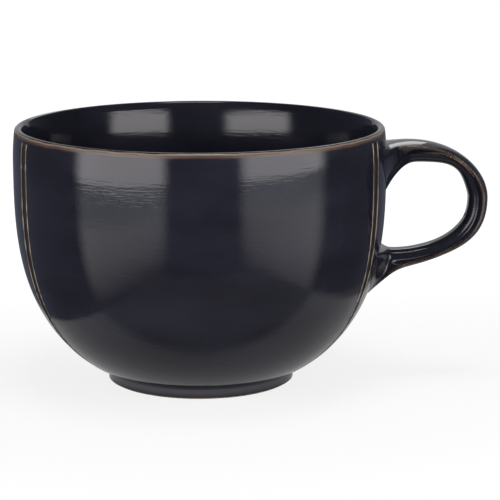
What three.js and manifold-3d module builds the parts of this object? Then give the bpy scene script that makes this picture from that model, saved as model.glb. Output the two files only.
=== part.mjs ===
// A stoneware breakfast cup: a deep round bowl on a low foot ring, with an ear-shaped strap handle.
// The clay pieces are joined with slip and lie under coats of glaze. Each coat and joint is its own solid.
// Sizes are millimetres. +Z is up, +X points to the handle. The bowl's axis meets the table at the origin.
import * as THREE from "three";
import { mergeVertices } from "three/addons/utils/BufferGeometryUtils.js";
import Module from "manifold-3d";

// Bowl, measured over the glaze
const rimDiameter = 115;
const cupHeight = 79.7;
const bellyDrop = 10.5;
const rimLean = 0.55;
const wallThickness = 5.2;
const lipThickness = 2.4;
const lipTurn = 160;
const lipTaper = 27.7;
const lipTaperCurve = 3.5;
const floorHeight = 8;
const outerRoundness = [0.897, 0.675];
const innerRoundness = [0.625, 0.833];

// Foot ring
const footDiameter = 57.8;
const footHeight = 3.2;
const footWidth = 4.4;
const footEdge = 0.8;
const bareFoot = 1;

// Glaze and slip
const glazeThickness = 0.45;
const channelGlaze = 0.15;
const rimBandDepth = 2.2;
const channelWidth = 2.8;
const channelAngle = 23.9;
const channelTopDrop = 2.8;
const channelFootRise = 1.4;
const slipThickness = 0.8;
const hairline = 0.1;

// Handle crest, the line along the middle of its outer face
const handleReach = 31.7;
const upperRootDrop = 6;
const knuckleDrop = 23.1;
const lowerRootDrop = 47.05;
const rootDepth = 1.15;
const upperRise = 13.4;
const lowerRise = 12.9;
const upperSweep = 20.2;
const knuckleUpSweep = 10.1;
const knuckleDownSweep = 15.1;
const lowerSweep = 25.9;

// Handle section
const handleRootWidth = 15;
const handleKnuckleWidth = 11.2;
const handleInnerWidth = 8.4;
const upperThickness = 6.8;
const lowerThickness = 5.6;
const knuckleThickness = 5.9;
const upperSlimming = 1.75;
const lowerSlimming = 1.05;
const upperBend = 2.3;
const lowerBend = 1.3;
const rootDome = 0.8;
const knuckleDome = 1.8;
const handleInnerEdge = 2.8;
const sideBulge = 0.25;

// Handle roots: how far each side of the section spreads at the wall, and over which length
const rootHalfWidth = 16;
const rootTipHalfWidth = 3.6;
const rootWidthLength = 4.5;
const rootRounding = 3.2;
const rootSideCurve = 1.8;
const upperTail = 8.1;
const upperTailLength = 11;
const lowerTail = 7;
const lowerTailLength = 10;
const tailCurve = 3;
const lowerThickening = 2.7;
const lowerThickeningLength = 13;
const rootFillet = 1;
const rootFilletLength = 2.5;
const drapeLength = 9;

// Facets
const turnSteps = 40;
const bowlSteps = 12;
const innerSteps = 9;
const taperSteps = 3;
const lipSteps = 4;
const handleSteps = 30;
const rootCrowding = 0.8;
const mergeDistance = 1e-4;

const rimRadius = rimDiameter / 2;
const footRadius = footDiameter / 2;
const lipRadius = lipThickness / 2;
const lipHeight = cupHeight - lipRadius;
const bellyHeight = cupHeight - bellyDrop;

const wasm = await Module();
wasm.setup();

// A closed geometry as a solid that can be joined and cut.
function solid(geometry) {
  const bare = new THREE.BufferGeometry();
  bare.setAttribute("position", geometry.getAttribute("position"));
  bare.setIndex(geometry.getIndex());
  const merged = mergeVertices(bare, mergeDistance);
  const vertProperties = merged.getAttribute("position").array;
  const triVerts = new Uint32Array(merged.getIndex().array);
  return new wasm.Manifold(new wasm.Mesh({ numProp: 3, vertProperties, triVerts }));
}

// A profile of (radius, height) points turned about the cup's axis.
function turned(profile) {
  return solid(new THREE.LatheGeometry(profile, turnSteps).rotateX(Math.PI / 2));
}

const cup = new THREE.Group();

function addPiece(name, shape, material) {
  const { vertProperties, triVerts } = shape.getMesh();
  const geometry = new THREE.BufferGeometry();
  geometry.setAttribute("position", new THREE.BufferAttribute(vertProperties, 3));
  geometry.setIndex(new THREE.BufferAttribute(triVerts, 1));
  geometry.computeVertexNormals();
  const mesh = new THREE.Mesh(geometry, material);
  mesh.name = name;
  cup.add(mesh);
}

// A quarter of a rounded oval from a side wall (angle 0) down to its floor (angle of a quarter turn).
function ovalPoint(radius, top, depth, [widthPower, depthPower], angle) {
  const cosine = Math.max(Math.cos(angle), 0);
  return new THREE.Vector2(
    radius * cosine ** widthPower,
    top - depth * Math.sin(angle) ** depthPower,
  );
}

// The outer oval passes through the foot's corner, which sets how deep it would reach.
const footAngle = Math.acos((footRadius / rimRadius) ** (1 / outerRoundness[0]));
const outerDepth = (bellyHeight - footHeight) / Math.sin(footAngle) ** outerRoundness[1];

// Radius of the finished outside at a height between the foot and the lip.
function wallRadius(height) {
  if (height >= bellyHeight) {
    const climb = (height - bellyHeight) / (lipHeight - bellyHeight);
    return rimRadius - rimLean * climb ** 2;
  }
  const sine = ((bellyHeight - height) / outerDepth) ** (1 / outerRoundness[1]);
  return rimRadius * (1 - Math.min(sine, 1) ** 2) ** (outerRoundness[0] / 2);
}

// The finished skin in section: up the foot and the outside, over the lip, then down the inside to the axis.
const skin = [new THREE.Vector2(footRadius, bareFoot)];
for (let step = 0; step <= bowlSteps; step += 1) {
  const angle = footAngle * (1 - step / bowlSteps);
  skin.push(ovalPoint(rimRadius, bellyHeight, outerDepth, outerRoundness, angle));
}
const bandHeight = cupHeight - rimBandDepth;
skin.push(new THREE.Vector2(wallRadius(bandHeight), bandHeight));
const bandOutside = skin.length - 1;
const lipMiddle = rimRadius - rimLean - lipRadius;
for (let step = 0; step <= lipSteps; step += 1) {
  const angle = (THREE.MathUtils.degToRad(lipTurn) * step) / lipSteps;
  skin.push(
    new THREE.Vector2(
      lipMiddle + lipRadius * Math.cos(angle),
      lipHeight + lipRadius * Math.sin(angle),
    ),
  );
}
const taperFoot = cupHeight - lipTaper;
const innerRadius = wallRadius(taperFoot) - wallThickness;
const lipInside = skin[skin.length - 1];
function taperPoint(height) {
  const climb = (height - taperFoot) / (lipInside.y - taperFoot);
  return new THREE.Vector2(innerRadius + (lipInside.x - innerRadius) * climb ** lipTaperCurve, height);
}
skin.push(taperPoint(bandHeight));
const bandInside = skin.length - 1;
for (let step = 1; step < taperSteps; step += 1) {
  skin.push(taperPoint(THREE.MathUtils.lerp(bandHeight, taperFoot, step / taperSteps)));
}
for (let step = 0; step < innerSteps; step += 1) {
  const angle = ((Math.PI / 2) * step) / innerSteps;
  skin.push(ovalPoint(innerRadius, taperFoot, taperFoot - floorHeight, innerRoundness, angle));
}
skin.push(new THREE.Vector2(0, floorHeight));

// The same section moved into the clay by a depth, each corner mitred. A negative depth moves it outwards.
function sunk(points, depth) {
  const normals = points.slice(1).map((point, index) => {
    const along = point.clone().sub(points[index]).normalize();
    return new THREE.Vector2(-along.y, along.x);
  });
  return points.map((point, index) => {
    const before = normals[Math.max(index - 1, 0)];
    const after = normals[Math.min(index, normals.length - 1)];
    const mitre = before.clone().add(after);
    return point.clone().addScaledVector(mitre, depth / (1 + before.dot(after)));
  });
}

const clay = sunk(skin, glazeThickness);
const corner = clay[1];
clay[0].x = corner.x;
clay[clay.length - 1].x = 0;

// A coat of glaze between two places on the section.
function coat(first, last) {
  const outside = skin.slice(first, last + 1);
  const inside = clay.slice(first, last + 1).reverse();
  if (last === skin.length - 1) {
    return turned([...inside, ...outside]);
  }
  return turned([...outside, ...inside, outside[0]]);
}

// The bowl filled up to a surface that lies a depth under the finished outside.
const outsideSection = skin.slice(1, bandOutside + 2);
function filledBowl(depth) {
  const side = sunk(outsideSection, depth);
  const bottom = new THREE.Vector2(0, side[0].y);
  const top = new THREE.Vector2(0, side[side.length - 1].y);
  return turned([bottom, ...side, top]);
}

// The handle's crest in the plane of the handle: an upper arch to the knuckle, then a lower arch to the wall.
function polar(length, degrees) {
  const angle = THREE.MathUtils.degToRad(degrees);
  return new THREE.Vector2(length * Math.cos(angle), length * Math.sin(angle));
}
function rootPoint(drop) {
  const height = cupHeight - drop;
  return new THREE.Vector2(wallRadius(height) - rootDepth, height);
}
const upperRoot = rootPoint(upperRootDrop);
const lowerRoot = rootPoint(lowerRootDrop);
const knuckle = new THREE.Vector2(rimRadius + handleReach, cupHeight - knuckleDrop);
const crest = new THREE.CurvePath();
crest.add(
  new THREE.CubicBezierCurve(
    upperRoot,
    upperRoot.clone().add(polar(upperSweep, upperRise)),
    knuckle.clone().add(polar(knuckleUpSweep, 90)),
    knuckle,
  ),
);
crest.add(
  new THREE.CubicBezierCurve(
    knuckle,
    knuckle.clone().add(polar(knuckleDownSweep, -90)),
    lowerRoot.clone().add(polar(lowerSweep, lowerRise)),
    lowerRoot,
  ),
);

// How much of a root's spread is left at a distance from the wall: all at the wall, none past the length.
function spread(distance, length, curve = 2) {
  return THREE.MathUtils.clamp(1 - distance / length, 0, 1) ** curve;
}

// Half of the handle's section, from the crest to the middle of the inner face: (half width, depth below it).
// The strap tapers from its roots to the knuckle and is slimmest in the two bends between them.
// At a root the section turns into half a drop on the wall, wide and rounded above, narrow below.
function halfSection(distance, isUpper, inset) {
  const { clamp, lerp } = THREE.MathUtils;
  const away = clamp(distance / handleReach, 0, 1);
  const bend = Math.sin(Math.PI * away ** (isUpper ? upperBend : lowerBend)) ** 2;
  const slimming = bend * (isUpper ? upperSlimming : lowerSlimming);
  const thickness = lerp(isUpper ? upperThickness : lowerThickness, knuckleThickness, away) - slimming;
  const strapDome = lerp(rootDome, knuckleDome, away);
  const strapHalf = lerp(handleRootWidth, handleKnuckleWidth, away) / 2;
  const widening = spread(distance, rootWidthLength);
  const fillet = rootFillet * spread(distance, rootFilletLength);
  const tail = isUpper
    ? upperTail * spread(distance, upperTailLength, tailCurve)
    : lowerTail * spread(distance, lowerTailLength, tailCurve);
  const thickening = isUpper ? 0 : lowerThickening * spread(distance, lowerThickeningLength);
  const outerHalf = lerp(strapHalf, isUpper ? rootHalfWidth : rootTipHalfWidth, widening) - inset;
  const innerHalf = lerp(handleInnerWidth / 2, isUpper ? rootTipHalfWidth : rootHalfWidth, widening) - inset;
  const top = inset - (isUpper ? fillet : tail);
  const bottom = thickness + thickening + (isUpper ? tail : fillet) - inset;
  const dome = lerp(strapDome, isUpper ? rootRounding : strapDome, widening);
  const edge = lerp(handleInnerEdge, isUpper ? handleInnerEdge : rootRounding, widening);
  const arris = top + dome;
  const outerFace = [0, 0.45, 0.85, 1].map((share) => {
    const fall = lerp(share ** 2, 1 - Math.sqrt(1 - share ** 2), widening);
    return [outerHalf * share, top + dome * fall];
  });
  const side = [0.25, 0.5, 0.75].map((share) => {
    const fromWide = isUpper ? share : 1 - share;
    const narrowing = fromWide ** lerp(1, rootSideCurve, widening);
    const width = isUpper ? lerp(outerHalf, innerHalf, narrowing) : lerp(innerHalf, outerHalf, narrowing);
    return [width + 4 * sideBulge * share * (1 - share), lerp(arris, bottom - edge, share)];
  });
  const innerFace = [0, 45, 90].map((degrees) => {
    const corner = polar(edge, degrees);
    return [innerHalf - edge + corner.x, bottom - edge + corner.y];
  });
  return [...outerFace, ...side, ...innerFace, [0, bottom]];
}

// One ring of the handle. Near the wall the section is draped over the bowl, so that a root lies on it.
function handleRing(point, tangent, isUpper, inset) {
  const distance = point.x - wallRadius(point.y);
  const down = isUpper ? -1 : 1;
  const inward = new THREE.Vector2(tangent.y, -tangent.x);
  const drape = THREE.MathUtils.smoothstep(drapeLength - distance, 0, drapeLength);
  const half = halfSection(distance, isUpper, inset);
  const mirrored = half.slice(1, -1).reverse();
  const outline = [...half, ...mirrored.map(([width, depth]) => [-width, depth])];
  return outline.map(([width, depth]) => {
    const square = point.clone().addScaledVector(inward, depth);
    const height = point.y + down * depth;
    const radius = wallRadius(Math.min(height, lipHeight));
    const draped = new THREE.Vector2(Math.sqrt(radius ** 2 - width ** 2) + distance, height);
    const place = square.lerp(draped, drape);
    return new THREE.Vector3(place.x, width, place.y);
  });
}

// A solid through rings that all have the same number of points, closed at both ends.
function loft(rings) {
  const count = rings[0].length;
  const centres = [rings[0], rings[rings.length - 1]].map((ring) =>
    ring.reduce((sum, point) => sum.add(point), new THREE.Vector3()).divideScalar(count),
  );
  const points = [...rings.flat(), ...centres];
  const startCentre = points.length - 2;
  const endCentre = points.length - 1;
  const lastRing = (rings.length - 1) * count;
  const index = [];
  for (let side = 0; side < count; side += 1) {
    const next = (side + 1) % count;
    index.push(startCentre, side, next);
    index.push(endCentre, lastRing + next, lastRing + side);
    for (let ring = 0; ring < lastRing; ring += count) {
      index.push(ring + side, ring + count + next, ring + next);
      index.push(ring + side, ring + count + side, ring + count + next);
    }
  }
  const geometry = new THREE.BufferGeometry().setFromPoints(points);
  geometry.setIndex(index);
  return solid(geometry);
}

// The whole handle, all faces moved in by an inset. Its rings stand closer together towards the two roots.
function handleSolid(inset) {
  const rings = [];
  for (let step = 0; step <= handleSteps; step += 1) {
    const even = step / handleSteps;
    const share = even - (rootCrowding * Math.sin(2 * Math.PI * even)) / (2 * Math.PI);
    const point = crest.getPointAt(share);
    const tangent = crest.getTangentAt(share);
    rings.push(handleRing(point, tangent, point.y > knuckle.y, inset));
  }
  return loft(rings);
}

// One upright channel in the outer glaze: a blade that follows the wall's curve, at an angle round the axis.
function channelBlade(degrees) {
  const start = footHeight + channelFootRise;
  const end = cupHeight - channelTopDrop;
  const curve = outsideSection.filter((point) => point.y > start && point.y < end);
  const path = [new THREE.Vector2(wallRadius(start), start), ...curve];
  path.push(new THREE.Vector2(wallRadius(end), end));
  const floor = sunk(path, glazeThickness - channelGlaze);
  const air = sunk(path, -wallThickness).reverse();
  const blade = new THREE.ExtrudeGeometry(new THREE.Shape([...floor, ...air]), {
    depth: channelWidth,
    bevelEnabled: false,
  });
  blade.translate(0, 0, -channelWidth / 2);
  blade.rotateX(Math.PI / 2);
  blade.rotateZ(THREE.MathUtils.degToRad(degrees));
  return solid(blade);
}

// Materials
const stoneware = new THREE.MeshStandardMaterial({ color: 0xb39c7d, roughness: 0.85, metalness: 0 });
const slip = new THREE.MeshStandardMaterial({ color: 0x8d7860, roughness: 0.8, metalness: 0 });
const darkGlaze = new THREE.MeshStandardMaterial({ color: 0x24252e, roughness: 0.12, metalness: 0 });
const ironGlaze = new THREE.MeshStandardMaterial({ color: 0x4b3a2e, roughness: 0.25, metalness: 0 });

// Bowl: its wall and floor from the foot's corner over the lip to the middle of the inside.
const base = new THREE.Vector2(0, corner.y);
addPiece("bowl", turned([base, ...clay.slice(1)]), stoneware);

// Foot ring, with rounded lower edges and its top flat against the bowl.
const footOutside = corner.x;
const footInside = footOutside - footWidth;
const softEdge = footEdge * (1 - Math.SQRT1_2);
addPiece(
  "foot_ring",
  turned(
    [
      [footInside, corner.y],
      [footInside, footEdge],
      [footInside + softEdge, softEdge],
      [footInside + footEdge, 0],
      [footOutside - footEdge, 0],
      [footOutside - softEdge, softEdge],
      [footOutside, footEdge],
      [footOutside, bareFoot],
      [footOutside, corner.y],
      [footInside, corner.y],
    ].map(([radius, height]) => new THREE.Vector2(radius, height)),
  ),
  stoneware,
);

// Glaze in the recess inside the foot ring.
const baseGlazeRadius = footInside - hairline;
addPiece(
  "base_glaze",
  turned([
    new THREE.Vector2(0, corner.y - glazeThickness),
    new THREE.Vector2(baseGlazeRadius, corner.y - glazeThickness),
    new THREE.Vector2(baseGlazeRadius, corner.y),
    base,
  ]),
  darkGlaze,
);

// Glaze inside and over the lip.
addPiece("liner_glaze", coat(bandInside, skin.length - 1), darkGlaze);
addPiece("rim_band", coat(bandOutside, bandInside), ironGlaze);

// Glaze outside, open where the handle is luted on and thin along four channels.
let outerGlaze = coat(0, bandOutside).subtract(handleSolid(glazeThickness - hairline));
for (const degrees of [channelAngle, -channelAngle, 180 - channelAngle, 180 + channelAngle]) {
  outerGlaze = outerGlaze.subtract(channelBlade(degrees));
}
addPiece("outer_glaze", outerGlaze, darkGlaze);

// Handle: its clay strap starts on the slip, and its coat of glaze on the finished wall.
const strap = handleSolid(glazeThickness);
const slipSurface = glazeThickness - slipThickness;
addPiece("handle", strap.subtract(filledBowl(slipSurface - hairline)), stoneware);
addPiece(
  "handle_glaze",
  handleSolid(0).subtract(strap).subtract(filledBowl(-hairline)),
  darkGlaze,
);

// Slip between the strap's two roots and the wall.
const slipLayer = strap.intersect(filledBowl(slipSurface)).subtract(filledBowl(glazeThickness - hairline));
const halfCup = new THREE.BoxGeometry(cupHeight * 2, cupHeight * 2, cupHeight);
const upperHalf = solid(halfCup.translate(cupHeight, 0, knuckle.y + cupHeight / 2));
addPiece("upper_slip_joint", slipLayer.intersect(upperHalf), slip);
addPiece("lower_slip_joint", slipLayer.subtract(upperHalf), slip);

export default cup;
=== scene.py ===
# %% [markdown]
# # A dark glazed breakfast cup
# The cup was thrown and turned in stoneware, and its strap handle was luted on with slip. A blue-black glaze covers
# it inside and out, and breaks to brown wherever it runs thin: on the lip, along the handle's edges and beside the
# upright channels in the wall. The bowl's clay comes from the CAD model. This lesson models what shows over it: the
# coats of glaze, the foot ring, and the handle with its two joints.

# %% Load the frame
import math

import bmesh
import bpy
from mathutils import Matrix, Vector


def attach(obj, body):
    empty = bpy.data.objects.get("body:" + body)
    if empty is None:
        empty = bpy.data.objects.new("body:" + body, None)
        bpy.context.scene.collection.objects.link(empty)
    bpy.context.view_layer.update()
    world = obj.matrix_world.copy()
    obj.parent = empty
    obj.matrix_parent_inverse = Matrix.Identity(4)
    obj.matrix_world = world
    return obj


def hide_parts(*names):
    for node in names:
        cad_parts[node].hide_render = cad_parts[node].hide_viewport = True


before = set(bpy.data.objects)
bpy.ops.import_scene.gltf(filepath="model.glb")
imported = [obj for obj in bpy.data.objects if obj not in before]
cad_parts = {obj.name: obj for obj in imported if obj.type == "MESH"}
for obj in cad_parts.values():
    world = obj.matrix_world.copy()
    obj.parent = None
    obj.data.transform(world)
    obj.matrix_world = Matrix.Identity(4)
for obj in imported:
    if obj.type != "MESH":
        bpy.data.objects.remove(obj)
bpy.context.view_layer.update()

print("CAD nodes:", ", ".join(sorted(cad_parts)))

# %% [markdown]
# ## Camera
# The camera comes first, so that every later step can be compared with the photo. It could be placed by eye, but a fit
# of the cup's outline is surer. It gave a place 66 cm in front of the axis and 17.5 cm up, with a long lens that looks
# a little to the right of the axis.

# %% Set up the camera
MM = 0.001
CAMERA_PLACE = Vector((0.0, -658.7, 175.0)) * MM
CAMERA_AIM = Vector((15.44, 0.0, 40.26)) * MM
LENS_MM = 155.35

camera_data = bpy.data.cameras.new("photo_camera")
camera_data.sensor_width = 36.0
camera_data.lens = LENS_MM
camera_data.clip_start = 0.01
camera = bpy.data.objects.new("photo_camera", camera_data)
bpy.context.collection.objects.link(camera)
camera.location = CAMERA_PLACE
camera.rotation_euler = (CAMERA_AIM - CAMERA_PLACE).to_track_quat("-Z", "Y").to_euler()
bpy.context.scene.camera = camera
bpy.context.scene.view_settings.view_transform = "Standard"
print("camera distance in mm:", round((CAMERA_AIM - CAMERA_PLACE).length / MM, 1))

# %% [markdown]
# ## The wall in section
# A potter would hold a rib against the turning wall. Here the rib is a curve: a rounded oval from the foot to the
# belly, then a slight lean inwards up to the lip. It could be traced by hand with a Bezier curve, but a formula with
# the sizes of the CAD model makes each coat of glaze fit the clay under it.

# %% Outline of the outside
RIM_RADIUS = 57.5 * MM
CUP_HEIGHT = 79.7 * MM
BELLY_HEIGHT = 69.2 * MM
RIM_LEAN = 0.55 * MM
LIP_RADIUS = 1.2 * MM
LIP_HEIGHT = CUP_HEIGHT - LIP_RADIUS
FOOT_RADIUS = 28.9 * MM
FOOT_HEIGHT = 3.2 * MM
OUTER_ROUNDNESS = (0.897, 0.675)

foot_angle = math.acos((FOOT_RADIUS / RIM_RADIUS) ** (1 / OUTER_ROUNDNESS[0]))
outer_depth = (BELLY_HEIGHT - FOOT_HEIGHT) / math.sin(foot_angle) ** OUTER_ROUNDNESS[1]


def oval_point(radius, top, depth, roundness, angle):
    """A point on a quarter of a rounded oval, from the side wall at angle 0 down to the floor."""
    across = max(math.cos(angle), 0.0) ** roundness[0]
    down = math.sin(angle) ** roundness[1]
    return Vector((radius * across, 0.0, top - depth * down))


def wall_radius(height):
    """Radius of the finished outside at a height between the foot and the lip."""
    if height >= BELLY_HEIGHT:
        climb = (height - BELLY_HEIGHT) / (LIP_HEIGHT - BELLY_HEIGHT)
        return RIM_RADIUS - RIM_LEAN * climb**2
    sine = ((BELLY_HEIGHT - height) / outer_depth) ** (1 / OUTER_ROUNDNESS[1])
    return RIM_RADIUS * (1 - min(sine, 1.0) ** 2) ** (OUTER_ROUNDNESS[0] / 2)


def steps_between(start, end, count):
    """Evenly spaced values from start to end, both included."""
    return [start + (end - start) * step / count for step in range(count + 1)]


print("radius in mm at 20, 40 and 60 mm:", [round(wall_radius(h * MM) / MM, 2) for h in (20, 40, 60)])

# %% [markdown]
# The skin runs in one line from the foot's glaze edge, up the outside, over the lip and down the inside to the middle
# of the floor. Two places split it into the three coats that the CAD model has: outside, rim band and liner.

# %% The whole skin as one line
BAND_HEIGHT = CUP_HEIGHT - 2.2 * MM
LIP_TURN = math.radians(160)
TAPER_FOOT = CUP_HEIGHT - 27.7 * MM
TAPER_CURVE = 3.5
WALL_THICKNESS = 5.2 * MM
FLOOR_HEIGHT = 8.0 * MM
INNER_ROUNDNESS = (0.625, 0.833)
GLAZE_EDGE = 0.6 * MM

outside_line = [Vector((FOOT_RADIUS, 0.0, GLAZE_EDGE)), Vector((FOOT_RADIUS, 0.0, FOOT_HEIGHT - 0.5 * MM))]
for angle in steps_between(foot_angle, 0.0, 56):
    outside_line.append(oval_point(RIM_RADIUS, BELLY_HEIGHT, outer_depth, OUTER_ROUNDNESS, angle))
for height in steps_between(BELLY_HEIGHT, BAND_HEIGHT, 8)[1:]:
    outside_line.append(Vector((wall_radius(height), 0.0, height)))

lip_middle = RIM_RADIUS - RIM_LEAN - LIP_RADIUS
lip_line = [outside_line[-1].copy()]
for turn in steps_between(0.0, LIP_TURN, 18):
    across = lip_middle + LIP_RADIUS * math.cos(turn)
    lip_line.append(Vector((across, 0.0, LIP_HEIGHT + LIP_RADIUS * math.sin(turn))))
lip_inside = lip_line[-1]
inner_radius = wall_radius(TAPER_FOOT) - WALL_THICKNESS


def taper_point(height):
    """A point inside, where the wall thins towards the lip."""
    climb = (height - TAPER_FOOT) / (lip_inside.z - TAPER_FOOT)
    return Vector((inner_radius + (lip_inside.x - inner_radius) * climb**TAPER_CURVE, 0.0, height))


lip_line.append(taper_point(BAND_HEIGHT))
inside_line = [taper_point(height) for height in steps_between(BAND_HEIGHT, TAPER_FOOT, 16)]
for angle in steps_between(0.0, math.pi / 2, 40)[1:-1]:
    inside_line.append(oval_point(inner_radius, TAPER_FOOT, TAPER_FOOT - FLOOR_HEIGHT, INNER_ROUNDNESS, angle))
inside_line.append(Vector((0.0, 0.0, FLOOR_HEIGHT)))
print("points on the skin:", len(outside_line), len(lip_line), len(inside_line))

# %% [markdown]
# ## Turning a coat of glaze
# A coat is a thin closed shape: the skin outside and the clay's surface inside. Solidify could thicken a single skin,
# but the coats must meet edge to edge on the lip, so both sides are in the section. The section is drawn as a chain
# of vertices with Extrude.

# %% Tools for a section
GLAZE = 0.45 * MM
AXIS = Vector((0.0, 0.0, 1.0))


def sunk(line, depth):
    """The line moved into the clay by a depth, each corner mitred."""
    normals = []
    for first, second in zip(line, line[1:]):
        along = (second - first).normalized()
        normals.append(Vector((-along.z, 0.0, along.x)))
    moved = []
    for index, point in enumerate(line):
        before = normals[max(index - 1, 0)]
        after = normals[min(index, len(normals) - 1)]
        moved.append(point + (before + after) * (depth / (1 + before.dot(after))))
    return moved


def leave_edit_mode():
    """Back to object mode with nothing selected."""
    if bpy.context.object and bpy.context.object.mode != "OBJECT":
        bpy.ops.object.mode_set(mode="OBJECT")
    bpy.ops.object.select_all(action="DESELECT")


def draw_section(name, points):
    """A new piece in edit mode: one vertex, extruded along the points, with all of the chain selected."""
    leave_edit_mode()
    bpy.ops.mesh.primitive_plane_add(size=MM, location=(0, 0, 0))
    piece = bpy.context.object
    piece.name = piece.data.name = name
    bpy.ops.object.mode_set(mode="EDIT")
    bpy.ops.mesh.select_mode(type="VERT")
    bpy.ops.mesh.select_all(action="SELECT")
    bpy.ops.mesh.merge(type="CENTER")
    bpy.ops.transform.translate(value=points[0])
    for first, second in zip(points, points[1:]):
        bpy.ops.mesh.extrude_vertices_move(TRANSFORM_OT_translate={"value": second - first})
    bpy.ops.mesh.select_all(action="SELECT")
    bpy.ops.mesh.remove_doubles(threshold=0.001 * MM)
    bpy.ops.mesh.select_all(action="SELECT")
    return piece


print("a coat is", GLAZE / MM, "mm thick")

# %% [markdown]
# Spin turns a section about the cup's axis, as the wheel would. A Screw modifier could do it too, but only with even
# steps. Spinning in several sectors lets the columns of faces stand close together where there is fine relief.

# %% Tools for turning
def turn(name, points, sectors):
    """Draws a section and spins it through sectors of (degrees, steps) that add up to a full turn."""
    piece = draw_section(name, points)
    for degrees, steps in sectors:
        bpy.ops.mesh.spin(steps=steps, angle=math.radians(degrees), center=(0, 0, 0), axis=AXIS)
    bpy.ops.mesh.select_all(action="SELECT")
    bpy.ops.mesh.remove_doubles(threshold=0.003 * MM)
    bpy.ops.mesh.select_all(action="SELECT")
    bpy.ops.mesh.normals_make_consistent(inside=False)
    return piece


def finish_smooth(piece, degrees=40):
    """Smooth shading that keeps edges sharper than the angle."""
    leave_edit_mode()
    piece.select_set(True)
    bpy.context.view_layer.objects.active = piece
    bpy.ops.object.shade_smooth_by_angle(angle=math.radians(degrees))
    print(piece.name, "has", len(piece.data.polygons), "faces")


print("the wheel turns about", list(AXIS))

# %% [markdown]
# ## Outer glaze with its channels
# Four upright channels, two on each side of the handle's plane, run from the rim to the foot. Each is a shallow groove
# between two low ridges where the glaze has crept back. The columns of faces stand 0.4 mm apart there and about 2 mm
# apart on the plain sides, which keeps the piece light.

# %% Turn the outer glaze
CHANNEL_ANGLE = 23.9
CHANNEL_HALF = 3.2 * MM
CHANNEL_STEPS = 16
half_sector = math.degrees(CHANNEL_HALF / RIM_RADIUS)
channel_sector = (2 * half_sector, CHANNEL_STEPS)
end_sector = (CHANNEL_ANGLE - half_sector, 10)
end_pair = (2 * end_sector[0], 20)
side_sector = (180 - 2 * CHANNEL_ANGLE - 2 * half_sector, 60)
half_turn = [channel_sector, side_sector, channel_sector]

outer_clay = sunk(outside_line + [lip_line[1]], GLAZE)[: len(outside_line)]
outer_section = outside_line + outer_clay[::-1] + outside_line[:1]
outer_glaze = turn("outer_glaze_coat", outer_section, [end_sector, *half_turn, end_pair, *half_turn, end_sector])
print("one channel takes up", round(2 * half_sector, 2), "degrees of the wall")

# %% [markdown]
# The grooves could be a bump, but they notch the outline low on the bowl, so they are real relief. The columns are
# chosen by their distance from the middle of a channel, and Shrink/Fatten moves them along the normals: the middle in,
# the flanks less, the ridges out. That keeps the depth even as the wall curves under.

# %% Press the channels
CHANNEL_TOP = 76.6 * MM
CHANNEL_FOOT = 4.6 * MM
RELIEF = ((0.0, 1.1, -0.26), (1.1, 1.5, -0.12), (1.6, 2.4, 0.11))


def channel_distance(point):
    """How far a point of the wall is from the middle of the nearest channel, measured round the wall."""
    angle = math.degrees(math.atan2(abs(point.y), abs(point.x)))
    return math.radians(abs(angle - CHANNEL_ANGLE)) * RIM_RADIUS


def select_points(piece, test):
    """Selects the vertices that pass a test on their place, and returns how many."""
    bpy.ops.mesh.select_all(action="DESELECT")
    shape = bmesh.from_edit_mesh(piece.data)
    chosen = [vert for vert in shape.verts if test(vert.co)]
    for vert in chosen:
        vert.select_set(True)
    shape.select_flush(True)
    bmesh.update_edit_mesh(piece.data)
    return len(chosen)


for inner, outer, rise in RELIEF:

    def in_band(point, inner=inner * MM, outer=outer * MM):
        """Whether a point of the skin lies in this band beside a channel."""
        on_skin = math.hypot(point.x, point.y) > wall_radius(min(point.z, LIP_HEIGHT)) - 0.6 * GLAZE
        in_height = CHANNEL_FOOT < point.z < CHANNEL_TOP
        return on_skin and in_height and inner <= channel_distance(point) < outer

    count = select_points(outer_glaze, in_band)
    bpy.ops.transform.shrink_fatten(value=rise * MM)
    print("moved", count, "points by", rise, "mm")
finish_smooth(outer_glaze)

# %% [markdown]
# ## Rim band and liner
# The round of the lip could be a Bevel on a plain edge, but the section line already has it, so Spin is enough. The
# band over the lip and the coat inside have no relief, and one sector of even steps makes each.

# %% Turn the rim band and the liner
lip_clay = sunk([outside_line[-2]] + lip_line + [inside_line[1]], GLAZE)[1:-1]
rim_band = turn("rim_band_coat", lip_line + lip_clay[::-1] + lip_line[:1], [(360, 200)])
finish_smooth(rim_band)

inside_clay = sunk([lip_line[-2]] + inside_line, GLAZE)[1:]
inside_clay[-1].x = 0.0
liner = turn("liner_glaze_coat", inside_line + inside_clay[::-1], [(360, 200)])
finish_smooth(liner)

# %% [markdown]
# ## Foot ring and the glaze under the bowl
# The foot is bare clay where it meets the table. Its lower edges are softened with a sponge, so its section has two
# quarter rounds. A tube with a Bevel would do as well, but a drawn section can start exactly at the corner of the
# outer coat. The recess inside the ring is glazed, a little thicker along its edge.

# %% Turn the foot ring and the base glaze
FOOT_WIDTH = 4.4 * MM
FOOT_EDGE = 0.8 * MM
BASE_GAP = 0.1 * MM
HAIRLINE = 0.02 * MM
clay_corner = outer_clay[2]
foot_outside = clay_corner.x
foot_inside = foot_outside - FOOT_WIDTH


def quarter_round(across, sign):
    """A rounded lower edge of the foot, from its side wall to its flat."""
    middle = across - sign * FOOT_EDGE
    return [
        Vector((middle + sign * FOOT_EDGE * math.cos(turn), 0.0, FOOT_EDGE - FOOT_EDGE * math.sin(turn)))
        for turn in steps_between(0.0, math.pi / 2, 6)
    ]


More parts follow.
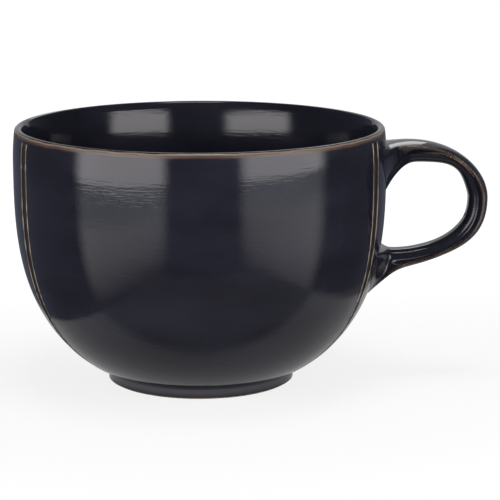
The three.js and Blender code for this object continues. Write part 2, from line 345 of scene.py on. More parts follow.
foot_section = [Vector((foot_outside, 0.0, clay_corner.z)), *quarter_round(foot_outside, 1)]
foot_section += quarter_round(foot_inside, -1)[::-1]
foot_section += [Vector((foot_inside, 0.0, clay_corner.z)), foot_section[0].copy()]
foot_ring = turn("foot_ring_turned", foot_section, [(360, 160)])
finish_smooth(foot_ring)

base_edge = foot_inside - BASE_GAP
base_section = [
    Vector((0.0, 0.0, clay_corner.z - HAIRLINE)),
    Vector((base_edge, 0.0, clay_corner.z - HAIRLINE)),
    Vector((base_edge, 0.0, clay_corner.z - 1.5 * GLAZE)),
    Vector((base_edge - 0.5 * MM, 0.0, clay_corner.z - 1.1 * GLAZE)),
    Vector((base_edge - 1.5 * MM, 0.0, clay_corner.z - GLAZE)),
    Vector((base_edge * 0.5, 0.0, clay_corner.z - 0.9 * GLAZE)),
    Vector((0.0, 0.0, clay_corner.z - 0.85 * GLAZE)),
]
base_glaze = turn("base_glaze_coat", base_section, [(360, 120)])
finish_smooth(base_glaze)

# %% [markdown]
# ## Handle
# The strap leaves the wall under the rim, bows out to a knuckle and comes back lower down. Its outer face is domed
# between two edges, and its inner face is narrow and well rounded. At both roots the section spreads on the wall into
# a drop, wide above and narrow below. A curve with a bevel object would keep one section all the way, so the strap is
# extruded instead: the first ring is a circle, and each Extrude adds the next ring along the crest.

# %% The crest of the handle
HANDLE_REACH = 31.7 * MM
UPPER_ROOT = CUP_HEIGHT - 6.0 * MM
KNUCKLE = Vector((RIM_RADIUS + HANDLE_REACH, CUP_HEIGHT - 23.1 * MM))
LOWER_ROOT = CUP_HEIGHT - 47.05 * MM
ROOT_DEPTH = 1.15 * MM


def polar(length, degrees):
    """A step of a length in a direction in the plane of the handle."""
    return Vector((math.cos(math.radians(degrees)), math.sin(math.radians(degrees)))) * length


upper_start = Vector((wall_radius(UPPER_ROOT) - ROOT_DEPTH, UPPER_ROOT))
lower_end = Vector((wall_radius(LOWER_ROOT) - ROOT_DEPTH, LOWER_ROOT))
UPPER_ARCH = (upper_start, upper_start + polar(20.2 * MM, 13.4), KNUCKLE + polar(10.1 * MM, 90), KNUCKLE)
LOWER_ARCH = (KNUCKLE, KNUCKLE + polar(15.1 * MM, -90), lower_end + polar(25.9 * MM, 12.9), lower_end)


def arch_point(arch, share):
    """A point on one arch, and the direction of the crest there."""
    a, b, c, d = arch
    rest = 1 - share
    point = a * rest**3 + b * (3 * share * rest**2) + c * (3 * share**2 * rest) + d * share**3
    along = (b - a) * rest**2 + (c - b) * (2 * share * rest) + (d - c) * share**2
    return point, along.normalized()


ARCH_STEPS = 48
ROOT_CROWDING = 1.6
from_root = [step**ROOT_CROWDING for step in steps_between(0.0, 1.0, ARCH_STEPS)]
crest = [(*arch_point(UPPER_ARCH, share), True) for share in from_root]
crest += [(*arch_point(LOWER_ARCH, 1 - share), False) for share in from_root[-2::-1]]
print("handle has", len(crest), "rings")

# %% [markdown]
# First come the sizes. The strap is 15 mm wide at the wall and 11 mm at the knuckle. The roots spread to 32 mm, and a
# tail runs on along the wall from each of them: down from the upper root, and down again from the lower one.

# %% Sizes of the section
STRAP_HALF_WIDTHS = (7.5 * MM, 5.6 * MM)
INNER_HALF_WIDTH = 4.2 * MM
UPPER_THICKNESS = 6.8 * MM
LOWER_THICKNESS = 5.6 * MM
KNUCKLE_THICKNESS = 5.9 * MM
UPPER_SLIMMING, UPPER_BEND = 1.75 * MM, 2.3
LOWER_SLIMMING, LOWER_BEND = 1.05 * MM, 1.3
DOMES = (0.8 * MM, 1.8 * MM)
INNER_EDGE = 2.8 * MM
SIDE_BULGE = 0.25 * MM
ROOT_HALF_WIDTH = 16.0 * MM
ROOT_TIP = 3.6 * MM
ROOT_LENGTH = 4.5 * MM
ROOT_ROUNDING = 3.2 * MM
ROOT_SIDE_CURVE = 1.8
ROOT_FILLET, FILLET_LENGTH = 0.5 * MM, 1.4 * MM
LOWER_THICKENING, THICKENING_LENGTH = 2.7 * MM, 13.0 * MM
UPPER_TAIL = (8.1 * MM, 11.0 * MM)
LOWER_TAIL = (7.0 * MM, 10.0 * MM)
TAIL_CURVE = 3
FACE_SHARES = (0.0, 0.2, 0.4, 0.58, 0.74, 0.87, 0.955, 1.0)
SIDE_SHARES = (0.12, 0.35, 0.6, 0.85)
EDGE_TURNS = (0.0, 18.0, 36.0, 54.0, 72.0, 90.0)
ARRIS = len(FACE_SHARES) - 1
print("strap in mm:", [round(2 * half / MM, 1) for half in STRAP_HALF_WIDTHS], "root:", 2 * ROOT_HALF_WIDTH / MM)

# %% [markdown]
# The section is written once, for every ring. Its widths, limits and roundings depend only on the distance to the wall,
# which also says how far it has spread into the drop, so every ring follows from its place.

# %% How the section changes
def mix(first, second, share):
    """A value between two others."""
    return first + (second - first) * share


def spread(distance, length, curve=2):
    """How much of a root's spread is left: all of it at the wall, none past the length."""
    return min(max(1 - distance / length, 0.0), 1.0) ** curve


def section_limits(distance, is_upper, inset):
    """How far the section has spread, its half widths, its top and bottom, and its two roundings."""
    away = min(max(distance / HANDLE_REACH, 0.0), 1.0)
    slimming, bend = (UPPER_SLIMMING, UPPER_BEND) if is_upper else (LOWER_SLIMMING, LOWER_BEND)
    thickness = mix(UPPER_THICKNESS if is_upper else LOWER_THICKNESS, KNUCKLE_THICKNESS, away)
    thickness -= slimming * math.sin(math.pi * away**bend) ** 2
    strap_dome = mix(*DOMES, away)
    strap_half = mix(*STRAP_HALF_WIDTHS, away)
    widening = spread(distance, ROOT_LENGTH)
    fillet = ROOT_FILLET * spread(distance, FILLET_LENGTH)
    tail_size, tail_length = UPPER_TAIL if is_upper else LOWER_TAIL
    tail = tail_size * spread(distance, tail_length, TAIL_CURVE)
    thickening = 0.0 if is_upper else LOWER_THICKENING * spread(distance, THICKENING_LENGTH)
    outer_half = mix(strap_half, ROOT_HALF_WIDTH if is_upper else ROOT_TIP, widening) - inset
    inner_half = mix(INNER_HALF_WIDTH, ROOT_TIP if is_upper else ROOT_HALF_WIDTH, widening) - inset
    top = inset - (fillet if is_upper else tail)
    bottom = thickness + thickening + (tail if is_upper else fillet) - inset
    dome = mix(strap_dome, ROOT_ROUNDING if is_upper else strap_dome, widening)
    edge = mix(INNER_EDGE, INNER_EDGE if is_upper else ROOT_ROUNDING, widening)
    return widening, outer_half, inner_half, top, bottom, dome, edge


print("spread at 0, 1 and 3 mm from the wall:", [round(spread(away * MM, ROOT_LENGTH), 2) for away in (0, 1, 3)])

# %% [markdown]
# Half of the outline runs from the crest over the domed face, down the side and round the inner edge to the middle of
# the inner face. The other half mirrors it.

# %% The section of the handle
def half_section(distance, is_upper, inset):
    """Half of the section as (half width, depth below the crest), all faces moved in by an inset."""
    widening, outer_half, inner_half, top, bottom, dome, edge = section_limits(distance, is_upper, inset)
    outline = []
    for share in FACE_SHARES:
        fall = mix(share**2, 1 - math.sqrt(1 - share**2), widening)
        outline.append((outer_half * share, top + dome * fall))
    for share in SIDE_SHARES:
        from_wide = share if is_upper else 1 - share
        narrowing = from_wide ** mix(1.0, ROOT_SIDE_CURVE, widening)
        ends = (outer_half, inner_half) if is_upper else (inner_half, outer_half)
        bulge = 4 * SIDE_BULGE * share * (1 - share)
        outline.append((mix(*ends, narrowing) + bulge, mix(top + dome, bottom - edge, share)))
    for degrees in EDGE_TURNS:
        corner = polar(edge, degrees)
        outline.append((inner_half - edge + corner.x, bottom - edge + corner.y))
    outline += [((inner_half - edge) * 0.5, bottom), (0.0, bottom)]
    return outline


def full_section(distance, is_upper, inset):
    """Both halves, from the crest round the near side to the inner face and back."""
    half = half_section(distance, is_upper, inset)
    return half + [(-width, depth) for width, depth in half[-2:0:-1]]


SPOKES = len(full_section(0.0, True, 0.0))
print("points round the handle:", SPOKES)

# %% [markdown]
# Near the wall a ring is draped over the bowl: each of its points keeps the ring's distance from the wall, so the
# root lies on the round surface instead of cutting into it. Shrinkwrap could pull the roots on to the wall, but it
# would flatten their thickness as well.

# %% Drape the rings
DRAPE_LENGTH = 9.0 * MM


def smooth_share(value):
    """A share from 0 to 1 with soft ends."""
    value = min(max(value, 0.0), 1.0)
    return value * value * (3 - 2 * value)


def ring_points(point, along, is_upper, inset):
    """The places of one ring's points."""
    distance = point.x - wall_radius(point.y)
    inward = Vector((along.y, -along.x))
    drape = smooth_share((DRAPE_LENGTH - distance) / DRAPE_LENGTH)
    places = []
    for width, depth in full_section(distance, is_upper, inset):
        square = point + inward * depth
        height = point.y + (-depth if is_upper else depth)
        radius = wall_radius(min(height, LIP_HEIGHT))
        draped = Vector((math.sqrt(radius**2 - width**2) + distance, height))
        place = square.lerp(draped, drape)
        places.append(Vector((place.x, width, place.y)))
    return places


print("first ring starts at", [round(side / MM, 1) for side in ring_points(*crest[0], 0.0)[0]], "mm")

# %% [markdown]
# Now the coat is drawn. A circle is the first ring, and each Extrude adds a ring that is laid on its own places. A
# point attribute numbers the spokes of the circle, and Extrude hands the numbers on, so no point loses its place. The
# rings are drawn a little too big, because smoothing draws them in again.

# %% Extrude the handle ring by ring
COAT_PROUD = 0.12 * MM


def lay_ring(piece, places):
    """Moves the selected ring to its places, each point by the spoke it was extruded from."""
    shape = bmesh.from_edit_mesh(piece.data)
    spoke = shape.verts.layers.int["spoke"]
    for vert in shape.verts:
        if vert.select:
            vert.co = places[vert[spoke]]
    bmesh.update_edit_mesh(piece.data)


def draw_strap(name, inset, stops):
    """A length of the strap as an open tube: a circle, extruded once for each stop along the crest."""
    leave_edit_mode()
    bpy.ops.mesh.primitive_circle_add(vertices=SPOKES, radius=5 * MM, location=(0, 0, 0))
    strap = bpy.context.object
    strap.name = strap.data.name = name
    spokes = strap.data.attributes.new("spoke", "INT", "POINT")
    spokes.data.foreach_set("value", range(SPOKES))
    bpy.ops.object.mode_set(mode="EDIT")
    bpy.ops.mesh.select_mode(type="VERT")
    bpy.ops.mesh.select_all(action="SELECT")
    lay_ring(strap, ring_points(*stops[0], inset))
    for stop in stops[1:]:
        bpy.ops.mesh.extrude_edges_move(TRANSFORM_OT_translate={"value": (0, 0, 0)})
        lay_ring(strap, ring_points(*stop, inset))
    return strap


handle_glaze = draw_strap("handle_glaze_coat", -COAT_PROUD, crest)
bpy.ops.mesh.select_all(action="SELECT")
bpy.ops.mesh.normals_make_consistent(inside=False)
leave_edit_mode()
print("handle coat has", len(handle_glaze.data.polygons), "faces")

# %% [markdown]
# Under the coat lies the clay strap, and a pad of slip holds each of its roots to the wall. They could be cut from the
# CAD model, but its flat facets would poke through the smooth coat. So the same rings are drawn again further in, and
# each open end is filled with a face. The pads lie deepest, because the coat is rounded most at the corners of a root.

# %% Draw the clay strap and the pads of slip
def draw_clay(name, inset, stops):
    """A closed length of the strap that fits under the coat."""
    clay = draw_strap(name, inset, stops)
    bpy.ops.mesh.select_non_manifold()
    bpy.ops.mesh.edge_face_add()
    bpy.ops.mesh.select_all(action="SELECT")
    bpy.ops.mesh.normals_make_consistent(inside=False)
    finish_smooth(clay)
    return clay


SLIP_START, SLIP_END = 3, 5
CLAY_INSET, SLIP_INSET = 1.2 * GLAZE, 2.5 * GLAZE
handle_clay = draw_clay("handle_clay_strap", CLAY_INSET, crest[SLIP_END:-SLIP_END])
upper_slip = draw_clay("upper_slip_pad", SLIP_INSET, crest[SLIP_START : SLIP_END + 1])
lower_slip = draw_clay("lower_slip_pad", SLIP_INSET, crest[-SLIP_END - 1 : -SLIP_START])
print("clay strap", len(handle_clay.data.polygons), "faces, pads", len(upper_slip.data.polygons), "faces each")

# %% [markdown]
# The glaze runs thin on the two outer edges, and the material paints them brown with pale tan flecks that are partly a
# painted highlight. A point attribute remembers them for the material, because the edges turn with the strap and no
# coordinate follows them. Subdivision then smooths the coat and rounds its edges, and Solidify gives it its thickness
# towards the clay.

# %% Finish the handle
THIN_BESIDE_ARRIS = ((-2, 0.6), (-1, 0.95), (0, 1.0), (1, 0.6), (2, 0.32))
COAT_DEPTH = 1.35 * GLAZE

thin = handle_glaze.data.attributes.new("thin_glaze", "FLOAT", "POINT")
thin_by_spoke = [0.0] * SPOKES
for step, value in THIN_BESIDE_ARRIS:
    thin_by_spoke[ARRIS + step] = thin_by_spoke[-ARRIS - step] = value
spoke_values = handle_glaze.data.attributes["spoke"].data
for vert, item, share in zip(handle_glaze.data.vertices, spoke_values, thin.data):
    off_wall = vert.co.x - wall_radius(min(vert.co.z, LIP_HEIGHT))
    share.value = thin_by_spoke[item.value] * smooth_share((off_wall - 2 * MM) / (3 * MM))


def apply_modifier(piece, kind, **settings):
    """Adds a modifier with its settings and applies it."""
    leave_edit_mode()
    piece.select_set(True)
    bpy.context.view_layer.objects.active = piece
    modifier = piece.modifiers.new(kind.lower(), kind)
    for option, value in settings.items():
        setattr(modifier, option, value)
    bpy.ops.object.modifier_apply(modifier=modifier.name)


apply_modifier(handle_glaze, "SUBSURF", levels=1, render_levels=1)
apply_modifier(handle_glaze, "SOLIDIFY", thickness=COAT_DEPTH, offset=-1.0)
finish_smooth(handle_glaze, 60)

# %% [markdown]
# ## Finishes
# Each finish is built from nodes on Object coordinates. They could be wired one by one, but a small helper that adds
# a node and fills each input with a value or a link keeps the recipes short.

# %% Tools for nodes
def add_node(tree, kind, inputs, **settings):
    """Adds a node, sets its options, and fills its inputs."""
    made = tree.nodes.new(kind)
    for option, value in settings.items():
        setattr(made, option, value)
    for socket, value in inputs.items():
        if isinstance(value, bpy.types.NodeSocket):
            tree.links.new(value, made.inputs[socket])
        else:
            made.inputs[socket].default_value = value
    return made


def calculate(tree, operation, first, second=0.0):
    """The result of a Math node."""
    return add_node(tree, "ShaderNodeMath", {0: first, 1: second}, operation=operation).outputs[0]


def between(tree, value, low, high, start=0.0, end=1.0):
    """A value mapped smoothly from one range to another."""
    inputs = {"Value": value, "From Min": low, "From Max": high, "To Min": start, "To Max": end}
    return add_node(tree, "ShaderNodeMapRange", inputs, interpolation_type="SMOOTHSTEP").outputs["Result"]


print("node tools: Math and Map Range")

# %% [markdown]
# Three more helpers mix colours, make noise, and start a finish. Noise is stretched with Mapping, which turns round
# clouds into level ripples or upright streaks.

# %% Tools for colours and noise
def blend_colours(tree, share, first, second):
    """Two colours mixed by a share."""
    node = add_node(tree, "ShaderNodeMix", {"Factor": share}, data_type="RGBA")
    for name, colour in (("A", first), ("B", second)):
        socket = next(item for item in node.inputs if item.name == name and item.type == "RGBA")
        if isinstance(colour, bpy.types.NodeSocket):
            tree.links.new(colour, socket)
        else:
            socket.default_value = (*colour, 1.0)
    return next(item for item in node.outputs if item.type == "RGBA")


def noise(tree, place, scale, detail=2.0, stretch=(1, 1, 1)):
    """Noise from 0 to 1 on stretched coordinates."""
    mapped = add_node(tree, "ShaderNodeMapping", {"Vector": place, "Scale": stretch}).outputs["Vector"]
    return add_node(tree, "ShaderNodeTexNoise", {"Vector": mapped, "Scale": scale, "Detail": detail}).outputs["Fac"]


def new_finish(name):
    """A new material, its node tree, its shader and its Object coordinates."""
    finish = bpy.data.materials.new(name)
    finish.use_nodes = True
    tree = finish.node_tree
    shader = tree.nodes["Principled BSDF"]
    place = tree.nodes.new("ShaderNodeTexCoord").outputs["Object"]
    return finish, tree, shader, place


print("finish tools: Mix, Noise and a Principled shader")

# %% [markdown]
# ## Blue-black glaze
# The thick glaze is nearly black with a cast of blue, cloudy where it ran, and dotted with a few specks of iron. On
# the foot, where the potter wiped it before firing, it is thin and ashen. Its colour could be painted on, but noise on
# Object coordinates has no seam and keeps its true size on every piece.

# %% The ground of the glaze
NIGHT = (0.0097, 0.0097, 0.0150)
SLATE = (0.0155, 0.0162, 0.0245)
SPECK = (0.028, 0.022, 0.019)
ASH = (0.058, 0.058, 0.065)


def glaze_ground(tree, place):
    """The colour of the thick glaze, and the cloud that its gloss follows as well."""
    cloud = noise(tree, place, 26.0, 4.0, (1, 1, 2.5))
    ground = blend_colours(tree, between(tree, cloud, 0.35, 0.7), NIGHT, SLATE)
    grain = add_node(tree, "ShaderNodeTexVoronoi", {"Vector": place, "Scale": 520.0}).outputs["Distance"]
    specks = calculate(tree, "MULTIPLY", between(tree, grain, 0.16, 0.09), between(tree, cloud, 0.5, 0.6))
    ground = blend_colours(tree, specks, ground, SPECK)
    height = add_node(tree, "ShaderNodeSeparateXYZ", {"Vector": place}).outputs["Z"]
    on_foot = between(tree, height, 5.0 * MM, 3.0 * MM)
    wiped = calculate(tree, "MULTIPLY", on_foot, between(tree, height, 0.4 * MM, 2.4 * MM))
    return blend_colours(tree, wiped, ground, ASH), cloud


print("thick glaze from", NIGHT, "to", SLATE)

# %% [markdown]
# Molten glaze pulls away from a sharp place, and iron turns it brown where it is thin. On the lip it leaves a brown
# band under the outer shoulder, and a tan line along the shoulder that is partly that thin glaze and partly a painted
# highlight. Both depend on the height, made a little ragged by noise, and they fade out over the top of the lip, so
# that the inside stays dark.

# %% Brown and tan on the lip, the tan partly a painted highlight
IRON = (0.062, 0.041, 0.029)
# The tan is partly the glaze's own thin break and partly a painted highlight, on the lip, the channel ridges and the
# handle's edges.
TAN_AND_HIGHLIGHT = (0.34, 0.275, 0.215)
BROWN_BAND = ((77.9 * MM, 78.6 * MM), (79.4 * MM, 79.6 * MM))
PALE_BAND = ((78.9 * MM, 79.2 * MM), (79.3 * MM, 79.5 * MM))
PALE_ON_LIP = 0.5


def inside_band(tree, value, rise, fall):
    """1 between two limits and 0 outside them, with a soft rise and a soft fall."""
    return calculate(tree, "MULTIPLY", between(tree, value, *rise), between(tree, value, fall[1], fall[0]))


def lip_marks(tree, place):
    """How brown the glaze is on the lip, and how pale its tan line, which is partly a painted highlight."""
    parts = add_node(tree, "ShaderNodeSeparateXYZ", {"Vector": place}).outputs
    ragged = calculate(tree, "MULTIPLY", calculate(tree, "SUBTRACT", noise(tree, place, 160.0), 0.5), 0.5 * MM)
    height = calculate(tree, "ADD", parts["Z"], ragged)
    level = add_node(tree, "ShaderNodeCombineXYZ", {"X": parts["X"], "Y": parts["Y"]}).outputs["Vector"]
    radius = add_node(tree, "ShaderNodeVectorMath", {0: level}, operation="LENGTH").outputs["Value"]
    outer_side = between(tree, radius, lip_middle, lip_middle + 0.6 * MM)
    brown = inside_band(tree, height, *BROWN_BAND)
    # The tan line on the lip's shoulder is partly a painted highlight.
    pale = calculate(tree, "MULTIPLY", inside_band(tree, height, *PALE_BAND), PALE_ON_LIP)
    return calculate(tree, "MULTIPLY", brown, outer_side), calculate(tree, "MULTIPLY", pale, outer_side)


print("lip shoulder at", round((lip_middle + LIP_RADIUS) / MM, 2), "mm from the axis")

# %% [markdown]
# The channels get the same treatment, by the distance to the middle of the nearest one: umber in the groove, and a tan
# line on each ridge, which is partly thin glaze and partly a painted highlight. The distance is measured round the
# axis, as it was for the relief.

# %% Umber along the channels, with tan and a painted highlight on the ridges
UMBER = (0.0205, 0.0150, 0.0125)
GROOVE_EDGE = (2.3 * MM, 1.7 * MM)
RIDGE_BAND = ((1.6 * MM, 1.8 * MM), (2.15 * MM, 2.35 * MM))


def channel_marks(tree, place):
    """How dark the groove and how pale the ridges of the channels are, the ridges' tan partly a painted highlight."""
    parts = add_node(tree, "ShaderNodeSeparateXYZ", {"Vector": place}).outputs
    sides = [calculate(tree, "ABSOLUTE", parts[axis]) for axis in ("Y", "X")]
    off_channel = calculate(tree, "SUBTRACT", calculate(tree, "ARCTAN2", *sides), math.radians(CHANNEL_ANGLE))
    across = calculate(tree, "MULTIPLY", calculate(tree, "ABSOLUTE", off_channel), RIM_RADIUS)
    above_foot = between(tree, parts["Z"], 4.0 * MM, 5.0 * MM)
    groove = between(tree, across, *GROOVE_EDGE)
    # The tan on each ridge is partly thin glaze and partly a painted highlight.
    ridge = inside_band(tree, across, *RIDGE_BAND)
    return calculate(tree, "MULTIPLY", groove, above_foot), calculate(tree, "MULTIPLY", ridge, above_foot)


print("channels at", CHANNEL_ANGLE, "degrees from the plane of the handle")

# %% [markdown]
# The surface is glossy but not flat. Level ripples come from the potter's fingers, short streaks from the brushed
# glaze, and a fine grain from tiny bubbles. They are too shallow to model, so they are a bump, and they show only
# where the edge of a reflection breaks up.

# %% The relief of the glaze
RIPPLES, STREAKS, BUBBLES = 0.32, 0.4, 0.16
RELIEF_STRENGTH, RELIEF_DEPTH = 0.2, 0.25 * MM


def glaze_relief(tree, place):
    """A normal with ripples, streaks and grain."""
    ripples = calculate(tree, "MULTIPLY", noise(tree, place, 30.0, 3.0, (1, 1, 30)), RIPPLES)
    streaks = calculate(tree, "MULTIPLY", noise(tree, place, 220.0, 2.0, (1, 1, 9)), STREAKS)
    bubbles = calculate(tree, "MULTIPLY", noise(tree, place, 900.0, 3.0), BUBBLES)
    relief = calculate(tree, "ADD", calculate(tree, "ADD", ripples, streaks), bubbles)
    settings = {"Strength": RELIEF_STRENGTH, "Distance": RELIEF_DEPTH, "Height": relief}
    return add_node(tree, "ShaderNodeBump", settings).outputs["Normal"]


print("the deepest streak is", round(STREAKS * RELIEF_STRENGTH * RELIEF_DEPTH / MM, 3), "mm")

# %% [markdown]
# One recipe then puts these together for all coats. Only the outer coat has channels, and only the handle's coat has
# the attribute for thin edges, which reads as 0 elsewhere. Brown and tan places are a little less glossy. A real glaze
# has an index of refraction of about 1.5. It is set a little lower, so that the pale table stays dark in the bowl.

# %% Mix the glaze
GLAZE_IOR = 1.4
# How pale the handle's edge flecks get; they are partly a painted highlight.
PALE_ON_EDGE = 0.3


def glaze_finish(name, has_channels=False):
    """A coat of the blue-black glaze, brown and tan where it is thin."""
    finish, tree, shader, place = new_finish(name)
    ground, cloud = glaze_ground(tree, place)
    brown, pale = lip_marks(tree, place)
    if has_channels:
        groove, ridge = channel_marks(tree, place)
        ground = blend_colours(tree, groove, ground, UMBER)
        # The ridges' tan, partly a painted highlight, joins the lip's tan here.
        pale = calculate(tree, "MAXIMUM", pale, ridge)

    thin_edge = add_node(tree, "ShaderNodeAttribute", {}, attribute_name="thin_glaze").outputs["Fac"]
    # Pale tan flecks along the handle's edges: partly thin glaze, partly a painted highlight.
    edge_fleck_noise = between(tree, noise(tree, place, 220.0, 3.0), 0.3, 0.65, 0.4, 1.0)
    edge_tan_and_highlight = calculate(tree, "MULTIPLY", thin_edge, edge_fleck_noise)
    brown = calculate(tree, "MAXIMUM", brown, between(tree, thin_edge, 0.2, 0.7))
    pale = calculate(tree, "MAXIMUM", pale, between(tree, edge_tan_and_highlight, 0.6, 1.0, 0.0, PALE_ON_EDGE))
    colour = blend_colours(tree, pale, blend_colours(tree, brown, ground, IRON), TAN_AND_HIGHLIGHT)
    tree.links.new(colour, shader.inputs["Base Color"])

    dull = calculate(tree, "MULTIPLY", calculate(tree, "MAXIMUM", brown, pale), 0.2)
    gloss = calculate(tree, "ADD", between(tree, cloud, 0.3, 0.7, 0.07, 0.12), dull)
    tree.links.new(gloss, shader.inputs["Roughness"])
    tree.links.new(glaze_relief(tree, place), shader.inputs["Normal"])
    shader.inputs["IOR"].default_value = GLAZE_IOR
    return finish


night_glaze = glaze_finish("blue_black_glaze")
channel_glaze = glaze_finish("channelled_glaze", has_channels=True)
rim_glaze = glaze_finish("iron_rim_glaze")
print("nodes in a glaze:", len(night_glaze.node_tree.nodes), "and with channels:", len(channel_glaze.node_tree.nodes))

# %% [markdown]
# ## Clay and slip
# The bare foot is buff stoneware with a toasted surface, fine sand and dark iron grains. One flat brown would look
# like plastic, so patches, grains and sand come from patterns of three sizes. The slip in the joints is the same clay,
# wetter and darker.

# %% Mix the clay and the slip
def clay_finish(name, light, dark):
    """Bare fired clay with patches, sand and iron grains."""
    finish, tree, shader, place = new_finish(name)
    patch = noise(tree, place, 70.0, 5.0)
    colour = blend_colours(tree, between(tree, patch, 0.3, 0.7), dark, light)
    grains = add_node(tree, "ShaderNodeTexVoronoi", {"Vector": place, "Scale": 1400.0}).outputs["Distance"]
    colour = blend_colours(tree, between(tree, grains, 0.2, 0.1, 0.0, 0.7), colour, SPECK)
    tree.links.new(colour, shader.inputs["Base Color"])
    tree.links.new(between(tree, patch, 0.2, 0.8, 0.72, 0.9), shader.inputs["Roughness"])
    sand = noise(tree, place, 2600.0, 3.0)
    bump = add_node(tree, "ShaderNodeBump", {"Strength": 0.35, "Distance": 0.2 * MM, "Height": sand})
    tree.links.new(bump.outputs["Normal"], shader.inputs["Normal"])
    return finish


stoneware = clay_finish("buff_stoneware", (0.50, 0.345, 0.21), (0.29, 0.18, 0.107))
slip = clay_finish("joint_slip", (0.26, 0.172, 0.112), (0.155, 0.103, 0.069))
print("clay finishes:", stoneware.name, "and", slip.name)

# %% [markdown]
# ## Dressing the pieces
# Each piece gets its finish, rides on the cup's one body, and hides the CAD piece it stands for. The bowl keeps its CAD
# mesh, because the coats cover it all round.

# %% Dress every piece
for piece, node, finish, slot in (
    (outer_glaze, "outer_glaze", channel_glaze, "dark_glaze"),
    (liner, "liner_glaze", night_glaze, "dark_glaze"),
    (handle_glaze, "handle_glaze", night_glaze, "dark_glaze"),
    (base_glaze, "base_glaze", night_glaze, "dark_glaze"),
    (rim_band, "rim_band", rim_glaze, "iron_glaze"),
    (foot_ring, "foot_ring", stoneware, "stoneware"),
    (handle_clay, "handle", stoneware, "stoneware"),
    (upper_slip, "upper_slip_joint", slip, "slip"),
    (lower_slip, "lower_slip_joint", slip, "slip"),
):
    piece.data.materials.clear()
    piece.data.materials.append(finish)
    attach(piece, "root")
    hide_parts(node)
    print(piece.name, "wears", finish.name)
for material_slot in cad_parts["bowl"].material_slots:
    material_slot.material = stoneware
print("bowl wears", stoneware.name)

# %% [markdown]
# ## Floor and backdrop
# The cup stands on a pale table with a pale sheet far behind it. The white comes from a glow that puts no light on the
# cup: the camera sees it everywhere, and the table keeps the cup's shadow. The glaze in the photo mirrors white only
# from a block of about 15 cm under the cup, with a dark room round it, so reflections see the glow on such a block.

# %% Paper that glows
WHITE_BLOCK = (-0.064, 0.086, -0.046)
BLOCK_SHARE = 0.5
SOFT_SIDE, SOFT_FRONT = 0.012, 0.01


def pale_finish(name, colour, near_glow, far_glow, block=None):
    """Pale paper with a glow that grows towards the back. Reflections see all of it, or only a block of it."""
    finish, tree, shader, place = new_finish(name)
    tone = noise(tree, place, 3.0)
    tree.links.new(blend_colours(tree, tone, colour, [0.985 * part for part in colour]), shader.inputs["Base Color"])
    parts = add_node(tree, "ShaderNodeSeparateXYZ", {"Vector": place}).outputs
    glow = between(tree, parts["Y"], -0.1, 0.25, near_glow, far_glow)
    rays = add_node(tree, "ShaderNodeLightPath", {}).outputs
    mirrored = calculate(tree, "MAXIMUM", rays["Is Glossy Ray"], rays["Is Transmission Ray"])
    if block:
        left, right, front = block
        on_block = inside_band(tree, parts["X"], (left - SOFT_SIDE, left), (right, right + SOFT_SIDE))
        on_block = calculate(tree, "MULTIPLY", on_block, between(tree, parts["Y"], front - SOFT_FRONT, front))
        mirrored = calculate(tree, "MULTIPLY", mirrored, calculate(tree, "MULTIPLY", on_block, BLOCK_SHARE))
    seen = calculate(tree, "MAXIMUM", rays["Is Camera Ray"], mirrored)
    tree.links.new(calculate(tree, "MULTIPLY", glow, seen), shader.inputs["Emission Strength"])
    shader.inputs["Emission Color"].default_value = (1.0, 1.0, 1.0, 1.0)
    shader.inputs["Roughness"].default_value = 0.9
    shader.inputs["Specular IOR Level"].default_value = 0.0
    return finish


pale_floor = pale_finish("pale_floor", (0.21, 0.21, 0.21), 0.76, 0.98, WHITE_BLOCK)
pale_backdrop = pale_finish("pale_backdrop", (0.7, 0.7, 0.7), 0.42, 0.42)
print("paper:", pale_floor.name, "and", pale_backdrop.name)

# %% [markdown]
# The table ends just outside the picture. A wider one would show in the sides of the dark cup, where the photo is dark.
# Its corners come from the camera: they are the places where lines of sight along the picture's edges meet the floor.

# %% Lay the floor and the backdrop
def stage_sheet(name, corners, finish):
    """A flat sheet with its four corners laid on the given places."""
    leave_edit_mode()
    bpy.ops.mesh.primitive_plane_add(size=1.0, location=(0, 0, 0))
    sheet = bpy.context.object
    sheet.name = sheet.data.name = name
    for index, corner in zip((0, 1, 3, 2), corners):
        sheet.data.vertices[index].co = corner
    sheet.data.materials.append(finish)
    return sheet


def floor_point(right, up):
    """Where the floor meets a line of sight, with the picture's edges at -1 and 1."""
    half = camera_data.sensor_width / 2 / LENS_MM
    sight = camera.rotation_euler.to_matrix() @ Vector((right * half, up * half, -1.0))
    return CAMERA_PLACE - sight * (CAMERA_PLACE.z / sight.z)


near_left, near_right = floor_point(-1.08, -1.05), floor_point(1.08, -1.05)
far_left, far_right = floor_point(-1.08, 1.02), floor_point(1.08, 1.02)
stage_sheet("floor", (near_left, near_right, far_right, far_left), pale_floor)
BACKDROP_HEIGHT = AXIS * 1.2
wide_left, wide_right = far_left + Vector((-0.4, 0, 0)), far_right + Vector((0.4, 0, 0))
backdrop_corners = (wide_left, wide_right, wide_right + BACKDROP_HEIGHT, wide_left + BACKDROP_HEIGHT)
stage_sheet("backdrop", backdrop_corners, pale_backdrop)
print("floor from", [round(side, 3) for side in near_left], "to", [round(side, 3) for side in far_right])

# %% [markdown]
# ## Side panels
# The two upright bands in the glaze are reflections of lit cloths on both sides of the camera. Each cloth is bright
# above, bluish where it folds over a bar, and fades out below. Sheets are used and not lamps, because their glow can
# fade along them. They are hidden from the camera, so that they never stand in front of the cup in another view.

# %% Hang the side panels
NEUTRAL = (1.0, 0.965, 0.98)
COOL = (0.84, 0.93, 1.0)
PANEL_GLOW, FOLD_GLOW, SKIRT_GLOW = (5.0, 5.8), (1.4, 1.4), (0.06, 1.85)
FOLD_TOP, FOLD_FOOT, SKIRT_FOOT = 0.003, 0.03, 0.17


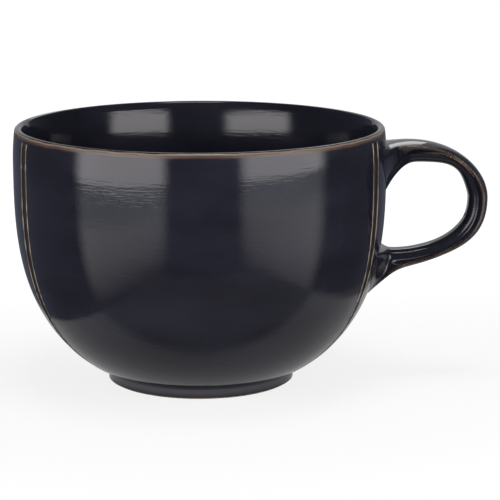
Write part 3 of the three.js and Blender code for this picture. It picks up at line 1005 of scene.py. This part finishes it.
def glow_card(name, feet, heads, foot_glow, head_glow, tint):
    """A sheet of lit cloth between two lower and two upper corners, graded by height, with soft ends."""
    finish, tree, shader, place = new_finish(name + "_cloth")
    parts = add_node(tree, "ShaderNodeSeparateXYZ", {"Vector": place}).outputs
    low = min(corner[2] for corner in feet)
    high = max(corner[2] for corner in heads)
    glow = between(tree, parts["Z"], low, high, foot_glow, head_glow)
    far_end, near_end = feet[0][1], feet[1][1]
    soft_ends = inside_band(tree, parts["Y"], (near_end, near_end + 0.14), (far_end - 0.045, far_end))
    tree.links.new(calculate(tree, "MULTIPLY", glow, soft_ends), shader.inputs["Emission Strength"])
    shader.inputs["Emission Color"].default_value = (*tint, 1.0)
    shader.inputs["Base Color"].default_value = (0.0, 0.0, 0.0, 1.0)
    card = stage_sheet(name, (*feet, *reversed(heads)), finish)
    card.visible_camera = False


def dropped(corners, depth):
    """The corners moved straight down."""
    return [(x, y, z - depth) for x, y, z in corners]


left_feet = ((-0.265, -0.07, 0.035), (-0.16, -0.56, -0.005))
left_heads = ((-0.265, -0.07, 0.18), (-0.16, -0.56, 0.31))
right_feet = ((0.235, -0.06, 0.06), (0.19, -0.52, 0.012))
right_heads = ((0.235, -0.06, 0.18), (0.19, -0.52, 0.31))
for side, feet, heads in (("left", left_feet, left_heads), ("right", right_feet, right_heads)):
    glow_card(side + "_panel", feet, heads, *PANEL_GLOW, NEUTRAL)
    glow_card(side + "_fold", dropped(feet, FOLD_FOOT), dropped(feet, FOLD_TOP), *FOLD_GLOW, COOL)
    glow_card(side + "_skirt", dropped(feet, SKIRT_FOOT), dropped(feet, FOLD_FOOT), *SKIRT_GLOW, NEUTRAL)
    print(side, "panel from", feet[0], "to", heads[1])

# %% [markdown]
# ## Lamps
# A square lamp overhead gives the thin highlights on rounded edges and the shadow on the table. A second one, far
# behind, lies as a white patch on the top of the handle. It hangs high enough to miss the inner face of the strap,
# which would otherwise melt into the pale background.

# %% Place the lamps
def area_lamp(name, place, aim, size, radiance):
    """A square lamp that shines from a place towards an aim."""
    lamp = bpy.data.lights.new(name, "AREA")
    lamp.size = size
    lamp.energy = radiance * math.pi * size**2
    panel = bpy.data.objects.new(name, lamp)
    panel.location = place
    panel.rotation_euler = (Vector(aim) - Vector(place)).to_track_quat("-Z", "Y").to_euler()
    bpy.context.collection.objects.link(panel)
    print(name, "shines with", round(lamp.energy, 2), "W")


area_lamp("top_panel", place=(0.05, -0.1, 1.1), aim=(0.05, -0.1, 0.0), size=0.4, radiance=6.8)
area_lamp("rear_panel", place=(0.12, 1.38, 0.72), aim=(0.05, 0.0, 0.08), size=0.48, radiance=2.4)

# %% [markdown]
# The rest of the room is dim and a little blue, and lighter behind the cup. That end shows in the glaze only close to
# the outline, as a soft cool edge, and it keeps the cup's back from being lost in the dark.

# %% Dim the room
ROOM = (0.055, 0.061, 0.079)
REAR_GAIN = 2.1

room = bpy.data.worlds.new("dim_room")
room.use_nodes = True
air = room.node_tree.nodes["Background"]
air.inputs["Color"].default_value = (*ROOM, 1.0)
heading = room.node_tree.nodes.new("ShaderNodeTexCoord").outputs["Generated"]
behind = add_node(room.node_tree, "ShaderNodeSeparateXYZ", {"Vector": heading}).outputs["Y"]
room.node_tree.links.new(between(room.node_tree, behind, 0.4, 0.95, 1.0, REAR_GAIN), air.inputs["Strength"])
bpy.context.scene.world = room
print("room light:", ROOM, "and", REAR_GAIN, "times that behind the cup")
